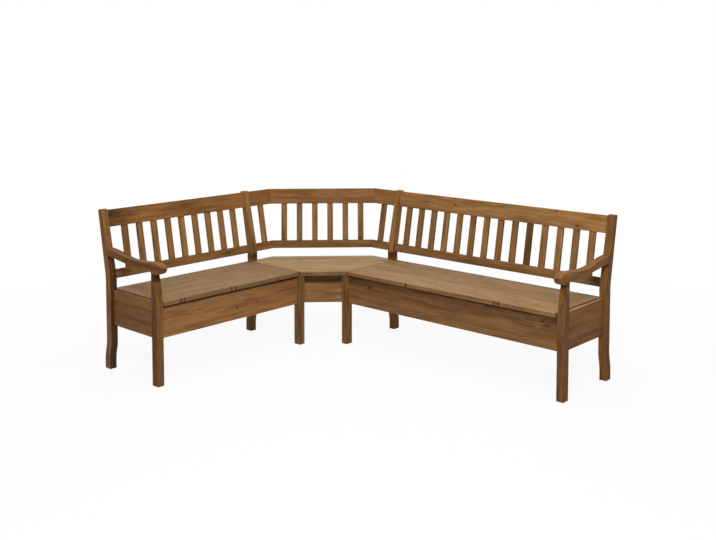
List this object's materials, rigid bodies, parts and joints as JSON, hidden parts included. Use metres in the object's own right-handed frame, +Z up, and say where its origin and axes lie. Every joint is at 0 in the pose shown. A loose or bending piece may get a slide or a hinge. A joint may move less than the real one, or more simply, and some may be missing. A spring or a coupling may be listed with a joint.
{
  "type": "corner storage bench",
  "caption": "Slatted wooden corner bench with chest seats under hinged lids, a diagonal corner backrest and curved armrests",
  "frame": {"origin": "on the floor, at the middle of the bench's rectangular footprint", "axes": "+Z up; +X along the long wing towards its open end; +Y towards the long wing's back, so its seat faces -Y and the short wing's seat faces +X"},
  "size_m": [2.2606, 1.8006, 0.903],
  "materials": {
    "post_wood": "waxed pine in antique brown, worn at the edges",
    "rest_wood": "waxed pine in mid brown",
    "chest_wood": "waxed pine in dark brown",
    "seat_wood": "waxed pine, worn light",
    "raw_wood": "bare pine",
    "dowel_wood": "bare beech",
    "plywood": "raw plywood",
    "hinge_metal": "dull brassed steel"
  },
  "bodies": {
    "bench_frame": {"short_outer_back_post": "post_wood", "short_inner_back_post": "post_wood", "short_outer_front_post": "post_wood", "short_inner_front_post": "post_wood", "short_top_rail": "rest_wood", "short_lower_rail": "rest_wood", "short_back_slats": "rest_wood", "short_armrest": "rest_wood", "short_front_apron": "chest_wood", "short_rear_board": "chest_wood", "short_outer_end_panel": "chest_wood", "short_inner_end_panel": "chest_wood", "short_floor_cleats": "raw_wood", "short_floor_panel": "plywood", "short_hinge_strip": "seat_wood", "short_strip_leaves": "hinge_metal", "short_hinge_pins": "hinge_metal", "short_strip_screws": "hinge_metal", "long_outer_back_post": "post_wood", "long_inner_back_post": "post_wood", "long_outer_front_post": "post_wood", "long_inner_front_post": "post_wood", "long_top_rail": "rest_wood", "long_lower_rail": "rest_wood", "long_back_slats": "rest_wood", "long_armrest": "rest_wood", "long_front_apron": "chest_wood", "long_rear_board": "chest_wood", "long_outer_end_panel": "chest_wood", "long_inner_end_panel": "chest_wood", "long_floor_cleats": "raw_wood", "long_floor_panel": "plywood", "long_hinge_strip": "seat_wood", "long_strip_leaves": "hinge_metal", "long_hinge_pins": "hinge_metal", "long_strip_screws": "hinge_metal", "corner_seat": "seat_wood", "corner_seat_cleats": "raw_wood", "corner_front_bearer": "chest_wood", "corner_rear_bearer": "chest_wood", "corner_front_apron": "chest_wood", "diagonal_top_rail": "rest_wood", "short_return_top_rail": "rest_wood", "long_return_top_rail": "rest_wood", "diagonal_lower_rail": "rest_wood", "short_return_lower_rail": "rest_wood", "long_return_lower_rail": "rest_wood", "diagonal_slats": "rest_wood", "return_slats": "rest_wood", "frame_dowels": "dowel_wood", "corner_seat_screws": "hinge_metal"},
    "short_lid_leaf": {"short_lid": "seat_wood", "short_lid_battens": "raw_wood", "short_lid_leaves": "hinge_metal", "short_lid_screws": "hinge_metal"},
    "long_lid_leaf": {"long_lid": "seat_wood", "long_lid_battens": "raw_wood", "long_lid_leaves": "hinge_metal", "long_lid_screws": "hinge_metal"}
  },
  "joints": [
    {"name": "short_lid_hinge", "type": "hinge", "parent": "bench_frame", "child": "short_lid_leaf", "pos_m": [-1.0127, -0.3553, 0.4565], "axis": [0, -1, 0], "range_deg": [0, 100]},
    {"name": "long_lid_hinge", "type": "hinge", "parent": "bench_frame", "child": "long_lid_leaf", "pos_m": [0.3553, 0.7827, 0.4565], "axis": [-1, 0, 0], "range_deg": [0, 100]}
  ]
}
